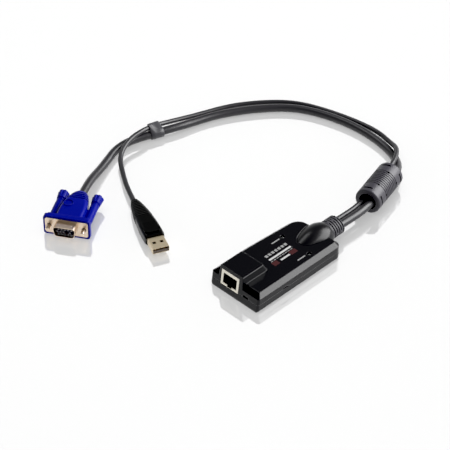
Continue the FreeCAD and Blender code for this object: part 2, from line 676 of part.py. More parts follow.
def make_jack_contacts():
    """Eight bent strips: each runs forward under the roof of the opening and springs back down."""
    strips = []
    top, t = PLUG_WAY_TOP_Z, CONTACT_THICK
    rear = -HOUSING_LENGTH / 2 + JACK_FACE_INSET + PLUG_WAY_DEPTH + 2.5
    bend = -HOUSING_LENGTH / 2 + 3.2
    for i in range(CONTACT_COUNT):
        x = JACK_X + (i - (CONTACT_COUNT - 1) / 2) * CONTACT_PITCH - CONTACT_WIDTH / 2
        side = [(rear, top), (bend, top), (bend - 0.3, top - t), (bend + 7.0, top - CONTACT_DROP - t),
                (bend + 7.2, top - CONTACT_DROP), (bend + 1.2, top - t), (rear, top - t)]
        strips.append(prism([(x, y, z) for y, z in side], (CONTACT_WIDTH, 0, 0)))
    return group(strips)


# ---------------------------------------------------------------- cables

def cord(name, route, radius):
    """Straight runs joined by tangent arcs, swept with a round section."""
    points = [V(*p) for p in route]
    edges = []
    here = points[0]
    radii = []
    for i in range(1, len(points) - 1):
        before, after = points[i] - points[i - 1], points[i + 1] - points[i]
        share = ARC_SHARE * min(before.Length, after.Length)
        u, w = V(before).normalize(), V(after).normalize()
        turn = u.getAngle(w)
        bend_r = share / math.tan(turn / 2)
        radii.append(bend_r)
        enter, leave = points[i] - u * share, points[i] + w * share
        to_centre = (w - u).normalize()
        centre = points[i] + to_centre * (bend_r / math.cos(turn / 2))
        middle = centre - to_centre * bend_r
        edges.append(Part.LineSegment(here, enter).toShape())
        edges.append(Part.Arc(enter, middle, leave).toShape())
        here = leave
    edges.append(Part.LineSegment(here, points[-1]).toShape())
    path = Part.Wire(edges)
    start_dir = points[1] - points[0]
    section = Part.Wire(Part.Circle(points[0], start_dir, radius).toShape())
    tube = path.makePipeShell([section], True, False)
    ideal = math.pi * radius ** 2 * path.Length
    print(name, "length", round(path.Length, 1), "arc radii", [round(r, 1) for r in radii],
          "volume share", round(tube.Volume / ideal, 4))
    return tube


def make_leads(x, count, radius, pitch):
    """Insulated wires from the end of a cable's jacket straight into their connector."""
    starts = [x + (i - (count - 1) / 2) * pitch for i in range(count)]
    return group([stud(radius, start, HEADER_Y1, LEAD_Z, LEAD_START_Y - HEADER_Y1) for start in starts])


def relief_collar():
    """Ribbed collar: a row of half slots, each row bridged a quarter turn from the last."""
    y0 = RELIEF_SECTIONS[-1][0] - 0.5
    length = COLLAR_END_Y - y0
    collar = Part.Face(ellipse_wire(RELIEF_X, y0, COLLAR_Z, COLLAR_A, COLLAR_B)).extrude(V(0, length, 0))
    core_a, core_b = COLLAR_A - COLLAR_SLOT_DEPTH, COLLAR_B - COLLAR_SLOT_DEPTH
    core = Part.Face(ellipse_wire(RELIEF_X, y0 - 1, COLLAR_Z, core_a, core_b)).extrude(V(0, length + 2, 0))
    h = COLLAR_BRIDGE / 2
    slots = []
    for i in range(COLLAR_SLOTS):
        y = COLLAR_FIRST_Y + i * COLLAR_PITCH
        bridge = box(RELIEF_X - h, RELIEF_X + h, y - 1, y + 2, -20, 40)
        if i % 2:
            bridge = box(-40, 40, y - 1, y + 2, COLLAR_Z - h, COLLAR_Z + h)
        slots.append(box(-30, 30, y, y + COLLAR_SLOT, -20, 40).cut([core, bridge]))
    return collar.cut(slots)


def make_strain_relief(cables):
    wall_y = HOUSING_LENGTH / 2 + LOOSE_GAP
    body = relief_form(0).fuse(relief_key(0))
    body = body.common(box(-40, 40, 0, wall_y, RELIEF_INNER_FLOOR_Z, 30).fuse(
        box(-40, 40, wall_y, 90, RELIEF_OUTER_FLOOR_Z, 30)))
    for route, radius in ((VGA_ROUTE, VGA_CABLE_R), (USB_ROUTE, USB_CABLE_R)):
        body = body.cut(rod(radius, (route[0][0], 0, route[0][2]), (0, 1, 0), LEAD_START_Y))
    return body.fuse(relief_collar()).cut(cables)


# ---------------------------------------------------------------- ferrite choke and sleeve

def radial(angle_deg):
    side = CHOKE_DIR.cross(V(0, 0, 1))
    return side * math.cos(math.radians(angle_deg)) + V(0, 0, 1) * math.sin(math.radians(angle_deg))


def make_ferrite_core():
    start = CHOKE_NEAR + CHOKE_DIR * ((CHOKE_LENGTH - CHOKE_CORE_LENGTH) / 2)
    core = rod(CHOKE_CORE_R, start, CHOKE_DIR, CHOKE_CORE_LENGTH)
    return core.cut(rod(CHOKE_BORE_R, start - CHOKE_DIR, CHOKE_DIR, CHOKE_CORE_LENGTH + 2))


def choke_hole(distance, angle_deg):
    out = radial(angle_deg)
    side = CHOKE_DIR.cross(out)
    h = CHOKE_HOLE / 2
    centre = CHOKE_NEAR + CHOKE_DIR * distance + out * (CHOKE_CORE_R - 0.2)
    corners = [centre + CHOKE_DIR * (a * h) + side * (b * h) for a, b in ((-1, -1), (1, -1), (1, 1), (-1, 1))]
    return prism(corners, out * 4)


def choke_slot(distance, angle_deg):
    """Arc groove cut around part of the cover near one end."""
    mid = CHOKE_NEAR + CHOKE_DIR * distance
    profile_out, profile_in = CHOKE_R + 1, CHOKE_R - CHOKE_SLOT_DEPTH
    start = radial(angle_deg - CHOKE_SLOT_SPAN_DEG / 2)
    h = CHOKE_DIR * (CHOKE_SLOT_WIDTH / 2)
    loop = [mid + start * profile_in - h, mid + start * profile_out - h, mid + start * profile_out + h,
            mid + start * profile_in + h]
    face = Part.Face(Part.makePolygon(loop + loop[:1]))
    return face.revolve(mid, CHOKE_DIR * -1, CHOKE_SLOT_SPAN_DEG)


def make_ferrite_cover(cables):
    cover = rod(CHOKE_R, CHOKE_NEAR, CHOKE_DIR, CHOKE_LENGTH)
    rims = [e for e in cover.Edges if len(e.Vertexes) == 1]
    cover = cover.makeFillet(CHOKE_EDGE_R, rims)
    start = CHOKE_NEAR + CHOKE_DIR * ((CHOKE_LENGTH - CHOKE_CORE_LENGTH) / 2)
    cuts = [rod(CHOKE_CORE_R, start, CHOKE_DIR, CHOKE_CORE_LENGTH)]
    cuts.append(rod(CHOKE_MOUTH_R, CHOKE_NEAR - CHOKE_DIR, CHOKE_DIR, CHOKE_MOUTH_DEPTH + 1))
    far = CHOKE_NEAR + CHOKE_DIR * (CHOKE_LENGTH - CHOKE_MOUTH_DEPTH)
    cuts.append(rod(CHOKE_MOUTH_R, far, CHOKE_DIR, CHOKE_MOUTH_DEPTH + 1))
    for distance in CHOKE_HOLE_AT:
        cuts += [choke_hole(distance, CHOKE_ROW_TURN_DEG + i * 360 / CHOKE_HOLE_ROWS) for i in range(CHOKE_HOLE_ROWS)]
    for distance in CHOKE_SLOT_AT:
        cuts += [choke_slot(distance, CHOKE_ROW_TURN_DEG + i * 360 / CHOKE_SLOTS) for i in range(CHOKE_SLOTS)]
    return cover.cut(cuts).cut(cables)


def make_cable_sleeve(cables):
    """Short figure-eight sleeve moulded round both cables where they lie side by side."""
    run = V(*VGA_ROUTE[15]) - V(*VGA_ROUTE[14])
    axis = V(run).normalize()
    usb_run = V(*USB_ROUTE[15]) - V(*USB_ROUTE[14])
    usb_axis = V(usb_run).normalize()
    usb_start = V(*USB_ROUTE[14])
    offset = (SLEEVE_START - usb_start).dot(axis) / usb_axis.dot(axis)
    vga_lobe = rod(SLEEVE_VGA_R, SLEEVE_START, axis, SLEEVE_LENGTH)
    usb_lobe = rod(SLEEVE_USB_R, usb_start + usb_axis * offset, usb_axis, SLEEVE_LENGTH)
    return vga_lobe.fuse(usb_lobe).cut(cables).removeSplitter()


# ---------------------------------------------------------------- video plug

def d_outline(grow, y):
    """Trapezoid with round corners, wide side up, in the x-z plane."""
    slant = math.tan(math.radians(SHELL_SLANT_DEG)) * SHELL_HEIGHT / 2
    w, h = SHELL_WIDTH / 2 + grow, SHELL_HEIGHT / 2 + grow
    return [(-w, y, h), (w, y, h), (w - 2 * slant, y, -h), (-w + 2 * slant, y, -h)]


def d_prism(grow, y0, y1):
    block = prism(d_outline(grow, y0), (0, y1 - y0, 0))
    return block.makeFillet(SHELL_CORNER_R + grow, along_edges(block, V(0, 1, 0)))


def make_vga_shell():
    w, h = FLANGE_WIDTH / 2, FLANGE_HEIGHT / 2
    flange = rounded_box(-w, w, -FLANGE_PROUD, FLANGE_THICK - FLANGE_PROUD, -h, h, 1.6, V(0, 1, 0))
    skirt = d_prism(0, -SHELL_REACH - FLANGE_PROUD, 0)
    dimples = [Part.makeSphere(DIMPLE_R, V(i * DIMPLE_PITCH, -SHELL_REACH / 2, SHELL_HEIGHT / 2 + DIMPLE_PROUD - DIMPLE_R))
               for i in (-1, 0, 1)]
    solid = flange.fuse([skirt] + dimples)
    cuts = [d_prism(-SHELL_SHEET, -SHELL_REACH - 2, 2)]
    cuts += [rod(JACKSCREW_R + LOOSE_GAP, (s * BARREL_X, -2, 0), (0, 1, 0), 4) for s in (-1, 1)]
    return solid.cut(cuts).removeSplitter()


def vga_pin_points():
    points = []
    for row, shift in ((1, -0.5), (0, 0.0), (-1, -0.5)):
        for i in range(5):
            if row == 0 and i == 3:
                continue
            points.append(((i - 2 + (0.25 if row else -0.25)) * VGA_PIN_PITCH, row * VGA_ROW_PITCH))
    return points


def insert_face_y():
    return -SHELL_REACH - FLANGE_PROUD + INSERT_SETBACK


def make_vga_insert():
    return d_prism(-SHELL_SHEET, insert_face_y(), 3.0)


def make_vga_pins():
    """Row contacts, each standing on the face of the insert."""
    tip = insert_face_y() - VGA_PIN_REACH + 1.2
    return group([stud(VGA_PIN_R, x, tip, z, insert_face_y() - tip) for x, z in vga_pin_points()])


def loft_of_boxes(sections, start, drops=None):
    """Tapering body: upright rounded rectangles (distance, half width, half height, corner radius)."""
    loops = []
    for (along, w, h, radius), drop in zip(sections, drops or [0] * len(sections)):
        y = start + along
        low, high = -h - drop, h - drop
        loops.append(rounded_loop([V(-w, y, low), V(w, y, low), V(w, y, high), V(-w, y, high)], [radius] * 4))
    return Part.makeLoft(loops, True, True)


def make_vga_hood(cable):
    rw, rh, ry = HOOD_RIM
    sw, sh, sy = HOOD_STEP
    rim = rounded_box(-rw / 2, rw / 2, 0.0, ry, -rh / 2, rh / 2, HOOD_CORNER_R, V(0, 1, 0))
    step = rounded_box(-sw / 2, sw / 2, 0.0, sy, -sh / 2, sh / 2, HOOD_CORNER_R, V(0, 1, 0))
    body = loft_of_boxes(HOOD_SECTIONS, 0)
    solids = [step, body]
    for s in (-1, 1):
        solids.append(rod(BARREL_R, (s * BARREL_X, 3, 0), (0, 1, 0), BARREL_END_Y - 3))
    solids.append(box(-BARREL_X, BARREL_X, 3, BARREL_WEB_END_Y, -BARREL_WEB, BARREL_WEB))
    top = HOOD_SECTIONS[1][2]
    rx, ring_y = HOOD_RING_AT
    ring = rod(HOOD_RING_R, (rx, ring_y, top - 1.2), (0, 0, 1), 1.2 + HOOD_RING_PROUD)
    solids.append(ring.cut(rod(HOOD_RING_R - HOOD_RING_WIDTH, (rx, ring_y, top - 3), (0, 0, 1), 6)))
    hood = rim.fuse(solids)
    cuts = [placed_back(cable)]
    flange_w, flange_h = FLANGE_WIDTH / 2, FLANGE_HEIGHT / 2
    cuts.append(rounded_box(-flange_w, flange_w, -1, FLANGE_THICK - FLANGE_PROUD, -flange_h, flange_h, 1.6, V(0, 1, 0)))
    cuts.append(d_prism(-SHELL_SHEET, -1, 3.0))
    cuts += [rod(JACKSCREW_R + LOOSE_GAP, (s * BARREL_X, -1, 0), (0, 1, 0), 40) for s in (-1, 1)]
    core = loft_of_boxes([(y, w - HOOD_GROOVE_DEPTH, h - HOOD_GROOVE_DEPTH, r) for y, w, h, r in HOOD_SECTIONS], 0)
    cuts += [box(-15, 15, y, y + HOOD_GROOVE, -15, 15).cut(core) for y in HOOD_GROOVE_YS]
    return hood.cut(cuts).removeSplitter()


def placed_back(shape):
    """A shape of the assembly seen from the video plug's own frame."""
    moved = shape.copy()
    moved.Placement = FreeCAD.Placement(VGA_AT, FreeCAD.Rotation(V(0, 0, 1), VGA_TURN_DEG)).inverse()
    return moved


def make_jackscrew(side):
    """Captive screw: a plain thread-sized end in front of the flange on a slimmer shank."""
    x = side * BARREL_X
    thread = rod(JACKSCREW_R, (x, JACKSCREW_TIP_Y, 0), (0, 1, 0), JACKSCREW_THREAD_END_Y - JACKSCREW_TIP_Y)
    tip = [e for e in thread.Edges if len(e.Vertexes) == 1 and e.Vertexes[0].Y < JACKSCREW_TIP_Y + 0.01]
    shank = rod(JACKSCREW_SHANK_R, (x, JACKSCREW_TIP_Y + 1, 0), (0, 1, 0), JACKSCREW_HEAD_Y - JACKSCREW_TIP_Y - 1)
    return thread.makeChamfer(JACKSCREW_CHAMFER, tip).fuse(shank).removeSplitter()


def make_knob(side, screw):
    x = side * BARREL_X
    steps = [(0, KNOB_NECK_R), (0.9, KNOB_NECK_R), (1.9, KNOB_R - 0.7), (KNOB_END_Y - KNOB_START_Y - 0.6, KNOB_R)]
    profile = [V(x, KNOB_START_Y, 0)] + [V(x + r, KNOB_START_Y + y, 0) for y, r in steps]
    profile += [V(x + KNOB_R - 0.6, KNOB_END_Y, 0), V(x, KNOB_END_Y, 0)]
    body = Part.Face(Part.makePolygon(profile + profile[:1])).revolve(V(x, 0, 0), V(0, 1, 0), 360)
    flutes = []
    for i in range(KNOB_FLUTES):
        a = 2 * math.pi * (i + 0.5) / KNOB_FLUTES
        r = KNOB_R + KNOB_FLUTE_R * 0.3
        flutes.append(rod(KNOB_FLUTE_R, (x + r * math.cos(a), KNOB_START_Y + 2.4, r * math.sin(a)), (0, 1, 0), 12))
    slot = box(x - 3, x + 3, KNOB_END_Y - 1.0, KNOB_END_Y + 1, -0.5, 0.5)
    return body.cut(flutes + [slot, screw])


# ---------------------------------------------------------------- USB plug

def usb_box(inset, y0, y1):
    w, h = USB_WIDTH / 2 - inset, USB_HEIGHT / 2 - inset
    return rounded_box(-w, w, y0, y1, -h, h, max(0.6 - inset, 0.3), V(0, 1, 0))


def make_usb_shell():
    shell = usb_box(0, 0, USB_REACH + USB_INSIDE).cut(usb_box(USB_SHEET, -1, USB_REACH + USB_INSIDE - USB_SHEET))
    half = USB_WINDOW / 2
    cuts = []
    for s in (-1, 1):
        x = s * USB_WINDOW_X
        cuts.append(box(x - half, x + half, USB_WINDOW_Y, USB_WINDOW_Y + USB_WINDOW, 0, 5))
        cuts.append(box(x - half, x + half, USB_WINDOW_Y, USB_WINDOW_Y + USB_WINDOW, -5, 0))
    return shell.cut(cuts)


def tongue_top():
    return -USB_HEIGHT / 2 + USB_SHEET + USB_TONGUE_THICK


def make_usb_tongue():
    inner = usb_box(USB_SHEET, 0.4, USB_REACH + USB_INSIDE - USB_SHEET)
    low = inner.common(box(-10, 10, 0, 30, -5, tongue_top()))
    back = inner.common(box(-10, 10, USB_REACH - 2.0, 30, -5, 5))
    blocks = low.fuse(back)
    cuts = [box(x - USB_CONTACT_WIDTH / 2, x + USB_CONTACT_WIDTH / 2, 1.2, USB_REACH - 2.0,
                tongue_top() - USB_CONTACT_THICK, tongue_top() + 1) for x in USB_CONTACT_X]
    return blocks.cut(cuts).removeSplitter()


def make_usb_contacts():
    return group([box(x - USB_CONTACT_WIDTH / 2, x + USB_CONTACT_WIDTH / 2, 1.2, USB_REACH - 2.0,
                      tongue_top() - USB_CONTACT_THICK, tongue_top()) for x in USB_CONTACT_X])


def make_usb_grip():
    grip = loft_of_boxes(USB_GRIP_SECTIONS, USB_REACH, USB_GRIP_DROP)
    pw, pl, ph = USB_PAD
    y0 = USB_REACH + USB_PAD_Y
    top = USB_GRIP_SECTIONS[2][2] - USB_GRIP_DROP[2]
    pad = rounded_box(-pw / 2, pw / 2, y0, y0 + pl, top - 1.4, top + ph, 3.4, V(0, 0, 1))
    return grip.fuse(pad).cut(usb_box(0, -1, USB_REACH + USB_INSIDE)).removeSplitter()


# ---------------------------------------------------------------- everything

def save(name, shape):
    shape.exportStep(os.path.join("parts", name + ".step"))
    box_ = shape.BoundBox
    print(name, len(shape.Solids), "solids", round(shape.Volume, 1), "mm3", shape.isValid(),
          [round(v, 2) for v in (box_.XMin, box_.XMax, box_.YMin, box_.YMax, box_.ZMin, box_.ZMax)])


def main():
    os.makedirs("parts", exist_ok=True)
    outer, inner = outer_form(), inner_form()
    vga_cable = cord("vga_cable", VGA_ROUTE, VGA_CABLE_R)
    usb_cable = cord("usb_cable", USB_ROUTE, USB_CABLE_R)
    cables = [vga_cable, usb_cable]
    contacts = make_jack_contacts()

    save("top_cover", make_top_cover(outer, inner))
    save("bottom_cover", make_bottom_cover(outer, inner))
    save("cover_screws", make_cover_screws())
    save("circuit_board", make_circuit_board())
    save("main_chip", make_chip(MAIN_CHIP, MAIN_CHIP_AT))
    save("video_chip", make_chip(VIDEO_CHIP, VIDEO_CHIP_AT))
    save("crystal", make_crystal())
    save("capacitors", make_capacitors())
    save("chip_parts", make_chip_parts())
    save("status_leds", make_status_leds())
    save("led_legs", make_led_legs())
    save("video_header", make_header(VGA_ROUTE[0][0], VGA_LEADS, VGA_LEAD_PITCH))
    save("usb_header", make_header(USB_ROUTE[0][0], USB_LEADS, USB_LEAD_PITCH))
    save("vga_leads", make_leads(VGA_ROUTE[0][0], VGA_LEADS, VGA_LEAD_R, VGA_LEAD_PITCH))
    save("usb_leads", make_leads(USB_ROUTE[0][0], USB_LEADS, USB_LEAD_R, USB_LEAD_PITCH))
    save("jack_shield", make_jack_shield())
    save("jack_body", make_jack_body(contacts))
    save("jack_contacts", contacts)
    save("strain_relief", make_strain_relief(cables))
    save("vga_cable", vga_cable)
    save("usb_cable", usb_cable)
    save("ferrite_core", make_ferrite_core())
    save("ferrite_cover", make_ferrite_cover(cables))
    save("cable_sleeve", make_cable_sleeve(cables))

    save("vga_hood", placed(make_vga_hood(vga_cable), VGA_AT, VGA_TURN_DEG))
    save("vga_shell", placed(make_vga_shell(), VGA_AT, VGA_TURN_DEG))
    save("vga_insert", placed(make_vga_insert(), VGA_AT, VGA_TURN_DEG))
    save("vga_pins", placed(make_vga_pins(), VGA_AT, VGA_TURN_DEG))
    for name, side in (("left", -1), ("right", 1)):
        screw = make_jackscrew(side)
        save(name + "_jackscrew", placed(screw, VGA_AT, VGA_TURN_DEG))
        save(name + "_knob", placed(make_knob(side, screw), VGA_AT, VGA_TURN_DEG))

    save("usb_grip", placed(make_usb_grip(), USB_AT, USB_TURN_DEG).cut(usb_cable))
    save("usb_shell", placed(make_usb_shell(), USB_AT, USB_TURN_DEG))
    save("usb_tongue", placed(make_usb_tongue(), USB_AT, USB_TURN_DEG))
    save("usb_contacts", placed(make_usb_contacts(), USB_AT, USB_TURN_DEG))


main()
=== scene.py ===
import json
import math

import bmesh
import bpy
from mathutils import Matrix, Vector


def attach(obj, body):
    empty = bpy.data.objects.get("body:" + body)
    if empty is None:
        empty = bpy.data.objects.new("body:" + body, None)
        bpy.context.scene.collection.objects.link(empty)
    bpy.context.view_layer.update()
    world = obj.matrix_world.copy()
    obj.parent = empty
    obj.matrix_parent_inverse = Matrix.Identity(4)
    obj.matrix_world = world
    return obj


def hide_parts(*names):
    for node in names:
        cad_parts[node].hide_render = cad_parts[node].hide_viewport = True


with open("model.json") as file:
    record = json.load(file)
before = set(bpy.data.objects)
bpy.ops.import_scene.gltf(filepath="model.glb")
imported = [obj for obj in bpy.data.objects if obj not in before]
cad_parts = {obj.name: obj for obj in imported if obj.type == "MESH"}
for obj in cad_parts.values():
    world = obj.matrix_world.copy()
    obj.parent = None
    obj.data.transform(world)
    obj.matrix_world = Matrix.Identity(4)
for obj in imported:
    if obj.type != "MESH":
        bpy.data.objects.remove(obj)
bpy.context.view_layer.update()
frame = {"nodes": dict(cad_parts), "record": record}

MM = 0.001
UP = Vector((0, 0, 1))


def new_object(name, data):
    obj = bpy.data.objects.new(name, data)
    bpy.context.collection.objects.link(obj)
    return obj


# ------------------------------------------------------------------ camera
CAMERA_AT = Vector((0.7042, -0.75165, 0.8869))
CAMERA_AIM = Vector((-0.0586, 0.00905, 0.0))
CAMERA_LENS, SENSOR_WIDTH = 160.0, 36.0

cam_data = bpy.data.cameras.new("camera")
cam_data.lens = CAMERA_LENS
cam_data.sensor_width = SENSOR_WIDTH
cam_data.clip_start, cam_data.clip_end = 0.05, 20.0
camera = new_object("camera", cam_data)
camera.location = CAMERA_AT
camera.rotation_mode = "QUATERNION"
camera.rotation_quaternion = (CAMERA_AIM - CAMERA_AT).to_track_quat("-Z", "Y")
bpy.context.scene.camera = camera

# ------------------------------------------------------------------ cords
VGA_CORD_R, USB_CORD_R = 3.0, 1.8
VGA_ROUTE = [
    (5.3, 36.0, 9.1), (5.4, 58.5, 9.1), (6.3, 82.35, 9.6), (-0.1, 108.15, 9.8), (-7.6, 132.3, 7.4),
    (-16.6, 143.2, 4.5), (-29.6, 150.8, 3.0), (-48.0, 155.0, 3.0), (-70.8, 155.6, 3.0),
    (-96.4, 150.4, 3.0), (-118.3, 140.3, 3.0), (-136.4, 120.05, 3.0), (-151.4, 94.55, 3.0),
    (-157.5, 74.55, 3.0), (-160.3, 62.35, 3.9), (-165.7, 46.95, 3.9), (-176.5, 17.95, 3.0),
    (-164.3, -10.35, 3.4), (-153.8, -33.95, 7.85), (-142.3, -52.65, 7.85)]
USB_ROUTE = [
    (-0.3, 36.0, 9.1), (-0.4, 58.5, 9.1), (0.4, 81.95, 9.5), (-6.4, 106.55, 9.7), (-12.4, 132.35, 10.9),
    (-23.3, 150.85, 9.4), (-36.2, 157.05, 5.2), (-53.8, 163.15, 2.6), (-75.3, 162.05, 1.8),
    (-100.0, 156.3, 1.8), (-122.5, 147.55, 1.8), (-140.0, 130.65, 1.8), (-154.5, 109.15, 1.8),
    (-163.1, 84.45, 1.8), (-168.8, 65.85, 3.2), (-171.8, 52.35, 5.1), (-170.1, 37.35, 9.6),
    (-170.3, 21.35, 8.6), (-163.9, 5.85, 5.0), (-147.9, -5.25, 3.6), (-130.5, -16.4, 4.6),
    (-111.29, -25.02, 4.6)]


def cord_curve(name, route, radius):
    """A round cord along route. Its points' radius is the tube's, so that its box is true."""
    data = bpy.data.curves.new(name, "CURVE")
    data.dimensions = "3D"
    data.bevel_depth = 1.0
    data.bevel_resolution = 8
    data.resolution_u = 16
    data.use_fill_caps = True
    spline = data.splines.new("NURBS")
    spline.points.add(len(route) - 1)
    for point, (x, y, z) in zip(spline.points, route):
        point.co = (x * MM, y * MM, z * MM, 1.0)
        point.radius = radius * MM
    spline.order_u = 3
    spline.use_endpoint_u = True
    return new_object(name, data)


vga_cord = cord_curve("video_cord", VGA_ROUTE, VGA_CORD_R)
usb_cord = cord_curve("usb_cord", USB_ROUTE, USB_CORD_R)
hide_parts("vga_cable")
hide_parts("usb_cable")
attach(vga_cord, "module")
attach(usb_cord, "module")


# ------------------------------------------------------------------ mesh helpers
CREASE = math.radians(35.0)


def new_mesh(name, verts, faces):
    """A mesh from corner points in millimetres."""
    mesh = bpy.data.meshes.new(name)
    mesh.from_pydata([tuple(c * MM for c in v) for v in verts], [], faces)
    shade(mesh)
    return mesh


def mesh_piece(name, verts, faces):
    obj = new_object(name, new_mesh(name, verts, faces))
    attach(obj, "module")
    return obj


def shade(mesh):
    """Faces turned outward, smooth but for edges sharper than CREASE."""
    bm = bmesh.new()
    bm.from_mesh(mesh)
    bmesh.ops.recalc_face_normals(bm, faces=bm.faces)
    for face in bm.faces:
        face.smooth = True
    for edge in bm.edges:
        edge.smooth = len(edge.link_faces) == 2 and edge.calc_face_angle(0.0) < CREASE
    bm.to_mesh(mesh)
    bm.free()


def ring_faces(rows, count, closed_rows=True):
    """Quads between rows of count points, each row closed on itself and, if closed_rows, last to first."""
    faces = []
    for i in range(rows if closed_rows else rows - 1):
        for j in range(count):
            k = (j + 1) % count
            up = (i + 1) % rows
            faces.append((i * count + j, i * count + k, up * count + k, up * count + j))
    return faces


# ------------------------------------------------------------------ ferrite choke cover
CHOKE_AT = Vector((2.0, 89.35, 9.75))
CHOKE_AXIS = Vector((-0.264, 0.9645, 0.0)).normalized()
CHOKE_LENGTH, CHOKE_R, CHOKE_EDGE = 37.2, 9.7, 1.3
CHOKE_INNER_R, CHOKE_INNER_LENGTH = 8.0, 28.4
CHOKE_MOUTH_R, CHOKE_MOUTH_DEPTH = 6.4, 1.4
CHOKE_TURN = 12.0
CHOKE_SIDES = 96
GROOVE_FIRST, GROOVE_PITCH, GROOVES = 10.7, 1.9625, 9
GROOVE_HALF, GROOVE_DEPTH = 0.52, 0.42
GROOVE_STEPS, GROOVE_FULLNESS = 8, 0.7
# openings: places along the axis, how many in a ring, half length, and how deep
WINDOWS_AT, WINDOWS, WINDOW_HALF, WINDOW_FLOOR = (10.7, 26.4), 6, 0.8, 0.15
SLOTS_AT, SLOTS, SLOT_HALF, SLOT_DEPTH, SLOT_HALF_TURN = (4.0, 33.2), 4, 0.7, 1.1, 21
CUT_PAST = 1


def choke_point(radius, along, angle_deg):
    side = CHOKE_AXIS.cross(UP)
    a = math.radians(angle_deg)
    return CHOKE_AT + CHOKE_AXIS * along + (side * math.cos(a) + UP * math.sin(a)) * radius


def choke_profile():
    """Closed outline (radius, distance along the axis): outer side with grooves, then the bore side."""
    arc = [math.radians(a) for a in range(0, 91, 15)]
    out = [(CHOKE_R - CHOKE_EDGE * (1 - math.sin(a)), CHOKE_EDGE * (1 - math.cos(a))) for a in arc]
    for i in range(GROOVES):
        mid = GROOVE_FIRST + i * GROOVE_PITCH
        for step in range(GROOVE_STEPS + 1):
            turn = math.pi * step / GROOVE_STEPS
            depth = GROOVE_DEPTH * math.sin(turn) ** GROOVE_FULLNESS
            out.append((CHOKE_R - depth, mid - GROOVE_HALF * math.cos(turn)))
    out += [(CHOKE_R - CHOKE_EDGE * (1 - math.sin(a)), CHOKE_LENGTH - CHOKE_EDGE * (1 - math.cos(a)))
            for a in reversed(arc)]
    lip = (CHOKE_LENGTH - CHOKE_INNER_LENGTH) / 2
    bore = [(CHOKE_MOUTH_R, CHOKE_LENGTH), (CHOKE_MOUTH_R, CHOKE_LENGTH - CHOKE_MOUTH_DEPTH),
            (CHOKE_INNER_R, CHOKE_LENGTH - lip), (CHOKE_INNER_R, lip), (CHOKE_MOUTH_R, CHOKE_MOUTH_DEPTH),
            (CHOKE_MOUTH_R, 0.0)]
    return out + bore


def choke_cutters():
    """Square windows over the core and arc slots near both ends, as one mesh of separate blocks."""
    verts, faces = [], []

    def block(r0, along, half, mid, half_turn, steps):
        """From radius r0 outward, half a length and half a turn to each side of its middle."""
        base = len(verts)
        r1, d0, d1 = CHOKE_R + CUT_PAST, along - half, along + half
        for s in range(steps + 1):
            a = mid - half_turn + 2 * half_turn * s / steps
            verts.extend(choke_point(r, d, a) for r, d in ((r0, d0), (r1, d0), (r1, d1), (r0, d1)))
        for s in range(steps):
            for c in range(4):
                e = (c + 1) % 4
                faces.append((base + 4 * s + c, base + 4 * s + e, base + 4 * s + 4 + e, base + 4 * s + 4 + c))
        faces.append(tuple(base + c for c in (3, 2, 1, 0)))
        faces.append(tuple(base + 4 * steps + c for c in range(4)))

    window_half_turn = math.degrees(WINDOW_HALF / CHOKE_R)
    for along in WINDOWS_AT:
        for i in range(WINDOWS):
            mid = CHOKE_TURN + i * 360 / WINDOWS
            block(CHOKE_INNER_R + WINDOW_FLOOR, along, WINDOW_HALF, mid, window_half_turn, 2)
    for along in SLOTS_AT:
        for i in range(SLOTS):
            mid = CHOKE_TURN + i * 360 / SLOTS
            block(CHOKE_R - SLOT_DEPTH, along, SLOT_HALF, mid, SLOT_HALF_TURN, 14)
    return verts, faces


def cut_away(obj, verts, faces):
    """Cut the blocks out of the piece for good, then shade it again."""
    cutter = new_object("cutter", new_mesh("cutter", verts, faces))
    cut = obj.modifiers.new("cut", "BOOLEAN")
    cut.operation, cut.solver, cut.object = "DIFFERENCE", "EXACT", cutter
    result = bpy.data.meshes.new_from_object(obj.evaluated_get(bpy.context.evaluated_depsgraph_get()))
    obj.modifiers.clear()
    obj.data = result
    bpy.data.objects.remove(cutter)
    shade(obj.data)


profile = choke_profile()
points = [choke_point(r, d, 360 * j / CHOKE_SIDES) for r, d in profile for j in range(CHOKE_SIDES)]
choke = mesh_piece("choke_cover", points, ring_faces(len(profile), CHOKE_SIDES))
cut_away(choke, *choke_cutters())
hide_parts("ferrite_cover")

# ------------------------------------------------------------------ band that ties the two cables
BAND_KNOT = 15  # the thick cord's route point that the band sits on
BAND_BEFORE = 3.4  # how far before that point the band starts
BAND_VGA_R, BAND_USB_R = 3.95, 2.95
BAND_SIDES = 64
BAND_OVER_GROUND = 0.02
# distance from the band's start, and how much its radii are drawn in there
BAND_STATIONS = ((0.0, 0.75), (0.22, 0.3), (0.7, 0.0), (3.5, 0.0),
                 (6.9, 0.0), (9.7, 0.0), (10.18, 0.3), (10.4, 0.75))
NEAR = 40  # a cord may pass the band's plane again farther off


def centre_line(cord):
    """The cord's own spline as points in millimetres."""
    data = cord.data.copy()
    data.bevel_depth = 0.0
    line = new_object("line", data)
    mesh = bpy.data.meshes.new_from_object(line.evaluated_get(bpy.context.evaluated_depsgraph_get()))
    points = [v.co / MM for v in mesh.vertices]
    bpy.data.objects.remove(line)
    return points


def crossing(points, origin, axis, along):
    """Where the line passes the plane that lies along from origin, within NEAR of it."""
    for a, b in zip(points, points[1:]):
        sa, sb = (a - origin).dot(axis) - along, (b - origin).dot(axis) - along
        if sa <= 0 < sb and (a - origin).length < NEAR:
            return a + (b - a) * (-sa / (sb - sa))


